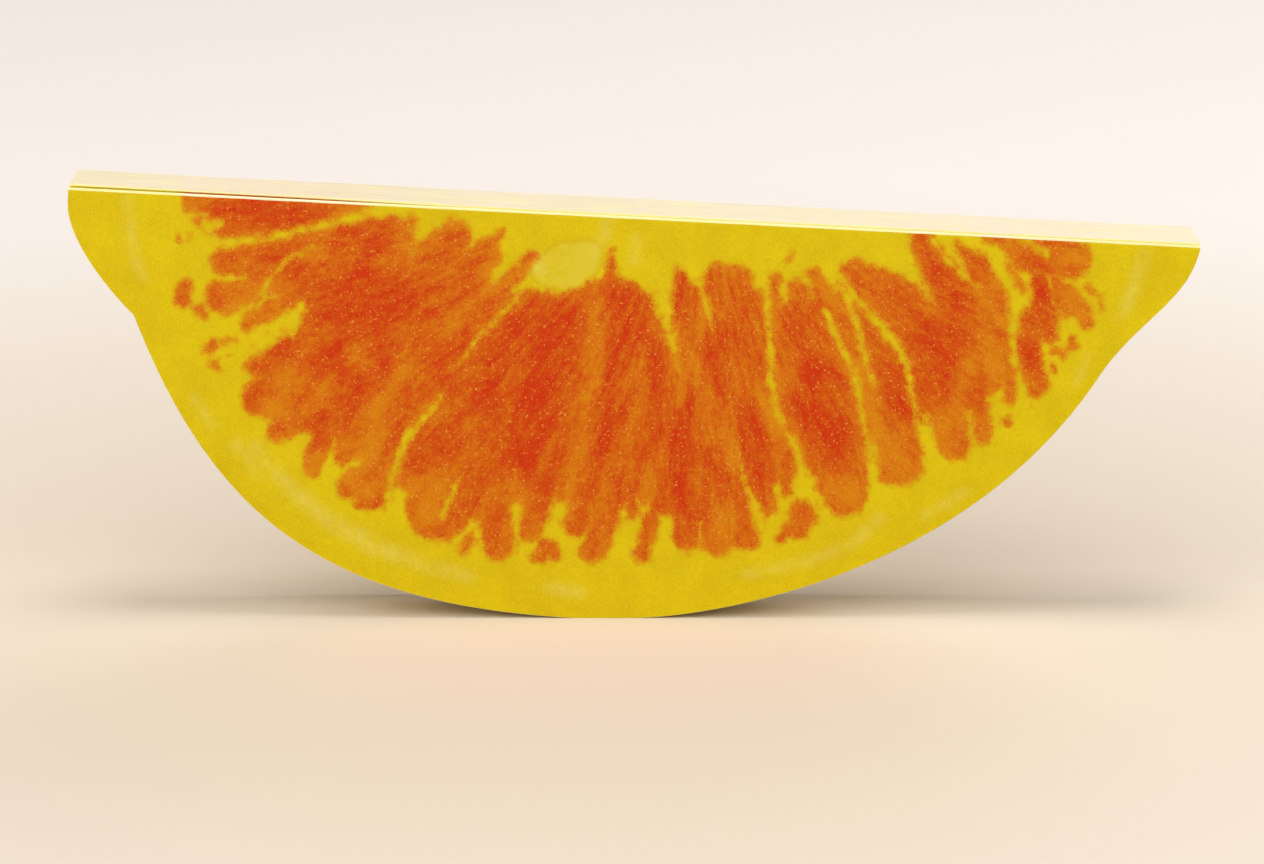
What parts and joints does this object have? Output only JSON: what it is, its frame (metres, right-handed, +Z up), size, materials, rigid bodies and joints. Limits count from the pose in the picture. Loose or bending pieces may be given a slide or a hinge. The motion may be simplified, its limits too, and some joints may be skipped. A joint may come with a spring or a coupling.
{
  "type": "memo pad",
  "caption": "Paper memo pad die-cut and printed like half a citrus fruit cut lengthwise, glued along its straight edge, standing on its curved edge.",
  "frame": {"origin": "middle of the object's box at table level, under the short flat that it stands on", "axes": "+X along the bound edge to its lower, right end; +Y from the printed front cover to the backing card; +Z up"},
  "size_m": [0.12, 0.0096, 0.0475],
  "materials": {
    "printed_cover": "matt coated card printed with a citrus section, yellow rind and pith and orange-red flesh, white cut edge",
    "printed_sheet": "uncoated paper with the same print, printed to the edge, so the cut curve looks yellow",
    "backing_card": "pale board, printed with the mirrored section on its outer face",
    "binding_glue": "thin dried padding glue, cream, the sheet edges showing through as fine lines"
  },
  "bodies": {
    "root": {"front_cover": "printed_cover", "sheet_01": "printed_sheet", "sheet_02": "printed_sheet", "sheet_03": "printed_sheet", "sheet_04": "printed_sheet", "sheet_05": "printed_sheet", "sheet_06": "printed_sheet", "sheet_07": "printed_sheet", "sheet_08": "printed_sheet", "sheet_09": "printed_sheet", "sheet_10": "printed_sheet", "sheet_11": "printed_sheet", "sheet_12": "printed_sheet", "sheet_13": "printed_sheet", "sheet_14": "printed_sheet", "sheet_15": "printed_sheet", "sheet_16": "printed_sheet", "sheet_17": "printed_sheet", "sheet_18": "printed_sheet", "sheet_19": "printed_sheet", "sheet_20": "printed_sheet", "sheet_21": "printed_sheet", "sheet_22": "printed_sheet", "sheet_23": "printed_sheet", "sheet_24": "printed_sheet", "sheet_25": "printed_sheet", "sheet_26": "printed_sheet", "sheet_27": "printed_sheet", "sheet_28": "printed_sheet", "sheet_29": "printed_sheet", "sheet_30": "printed_sheet", "sheet_31": "printed_sheet", "sheet_32": "printed_sheet", "sheet_33": "printed_sheet", "sheet_34": "printed_sheet", "sheet_35": "printed_sheet", "sheet_36": "printed_sheet", "sheet_37": "printed_sheet", "sheet_38": "printed_sheet", "sheet_39": "printed_sheet", "sheet_40": "printed_sheet", "sheet_41": "printed_sheet", "sheet_42": "printed_sheet", "sheet_43": "printed_sheet", "sheet_44": "printed_sheet", "sheet_45": "printed_sheet", "sheet_46": "printed_sheet", "sheet_47": "printed_sheet", "sheet_48": "printed_sheet", "sheet_49": "printed_sheet", "backing_card": "backing_card", "binding_glue": "binding_glue"}
  },
  "joints": []
}
